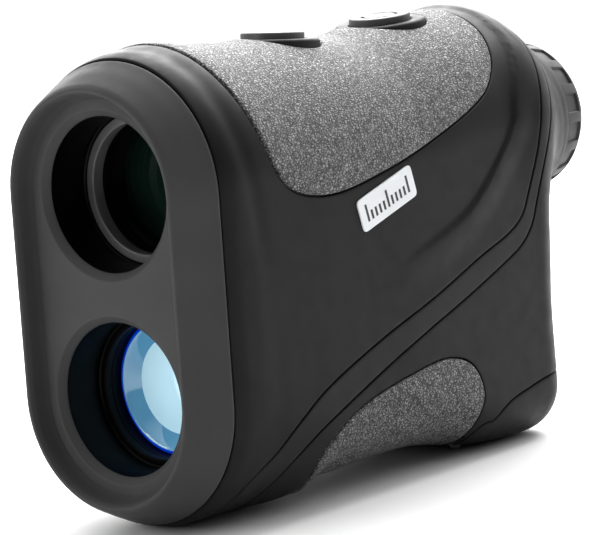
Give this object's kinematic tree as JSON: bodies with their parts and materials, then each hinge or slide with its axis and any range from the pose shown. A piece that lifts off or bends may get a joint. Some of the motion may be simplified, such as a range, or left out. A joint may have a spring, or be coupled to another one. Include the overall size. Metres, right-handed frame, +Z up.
{
  "type": "laser rangefinder",
  "caption": "Handheld laser rangefinder: two-port racetrack bezel, split grip housing, two top buttons, diopter eyepiece ring, hinged battery door.",
  "frame": {"origin": "middle of the footprint, on the plane the body rests on", "axes": "+Y from the front ports to the eyepiece, +Z up, +X to the right as seen from the front"},
  "size_m": [0.0436, 0.1194, 0.0777],
  "materials": {
    "bezel_plastic": "moulded, very fine matt grain",
    "body_plastic": "soft-touch matt coat",
    "trim_plastic": "soft-touch matt coat",
    "grip_rubber": "leather-grain moulded rubber",
    "button_rubber": "smooth matt rubber",
    "collar_plastic": "smooth satin",
    "ring_rubber": "matt, fluted",
    "eyecup_rubber": "matt",
    "seal_rubber": "matt",
    "barrel_black": "black anodised, threaded",
    "retainer_grey": "grey anodised",
    "black_plastic": "moulded",
    "lens_green": "green-coated optical glass",
    "lens_blue": "blue-coated optical glass",
    "lens_clear": "coated optical glass",
    "filter_glass": "deep red filter glass",
    "screw_steel": "zinc plated",
    "contact_brass": "gold flashed",
    "board_green": "solder resist over glass laminate",
    "chip_black": "moulded epoxy",
    "plunger_white": "moulded",
    "cell_wrap": "plain shrink wrap",
    "label_silver": "satin silver print film"
  },
  "bodies": {
    "housing": {"front_bezel": "bezel_plastic", "bezel_gasket": "seal_rubber", "barrel_clamp": "black_plastic", "bezel_screws": "screw_steel", "main_shell": "body_plastic", "rear_shell": "body_plastic", "trim_band": "trim_plastic", "upper_grip": "grip_rubber", "lower_grip": "grip_rubber", "button_collars": "collar_plastic", "button_board": "board_green", "button_switches": "chip_black", "objective_barrel": "barrel_black", "objective_ring": "retainer_grey", "objective_lens": "lens_green", "receiver_barrel": "barrel_black", "receiver_ring": "barrel_black", "receiver_lens": "lens_blue", "receiver_cone": "black_plastic", "band_filter": "filter_glass", "photodiode": "contact_brass", "receiver_board": "board_green", "optical_frame": "black_plastic", "prism_block": "lens_clear", "laser_diode": "contact_brass", "display_module": "chip_black", "eyepiece_tube": "black_plastic", "eyepiece_seal": "seal_rubber", "main_board": "board_green", "board_parts": "chip_black", "board_screws": "screw_steel", "battery": "cell_wrap", "battery_sleeve": "black_plastic", "battery_contact": "contact_brass", "hinge_block": "black_plastic", "hinge_pin": "screw_steel", "label_plate": "label_silver"},
    "mode_button": {"mode_button": "button_rubber"},
    "mode_plunger": {"mode_plunger": "plunger_white"},
    "fire_button": {"fire_button": "button_rubber"},
    "fire_plunger": {"fire_plunger": "plunger_white"},
    "diopter": {"diopter_ring": "ring_rubber", "eyecup": "eyecup_rubber"},
    "ocular": {"ocular_cell": "black_plastic", "ocular_lens": "lens_clear"},
    "battery_door": {"battery_door": "body_plastic", "door_frame": "black_plastic", "door_spring": "contact_brass"}
  },
  "joints": [
    {"name": "mode_button_press", "type": "slide", "parent": "housing", "child": "mode_button", "axis": [0, -0.061, -0.9981], "range_m": [0, 0.0007], "stiffness_N_per_m": 1800},
    {"name": "mode_plunger_slide", "type": "slide", "parent": "housing", "child": "mode_plunger", "axis": [0, 0, -1], "range_m": [0, 0.0007]},
    {"name": "fire_button_press", "type": "slide", "parent": "housing", "child": "fire_button", "axis": [0, 0.0872, -0.9962], "range_m": [0, 0.0007], "stiffness_N_per_m": 1800},
    {"name": "fire_plunger_slide", "type": "slide", "parent": "housing", "child": "fire_plunger", "axis": [0, 0, -1], "range_m": [0, 0.0007]},
    {"name": "diopter_turn", "type": "hinge", "parent": "housing", "child": "diopter", "pos_m": [0, 0.05325, 0.0549], "axis": [0, 1, 0], "range_deg": [-150, 150]},
    {"name": "ocular_slide", "type": "slide", "parent": "housing", "child": "ocular", "axis": [0, 1, 0], "range_m": [-0.0012, 0.0012]},
    {"name": "battery_door_open", "type": "hinge", "parent": "housing", "child": "battery_door", "pos_m": [0, 0.01545, 0.0032], "axis": [-1, 0, 0], "range_deg": [0, 95]}
  ],
  "couplings": [
    {"joint": "mode_plunger_slide", "follows": "mode_button_press", "ratio": 1},
    {"joint": "fire_plunger_slide", "follows": "fire_button_press", "ratio": 1},
    {"joint": "ocular_slide", "follows": "diopter_turn", "m_per_rad": 0.000458}
  ]
}
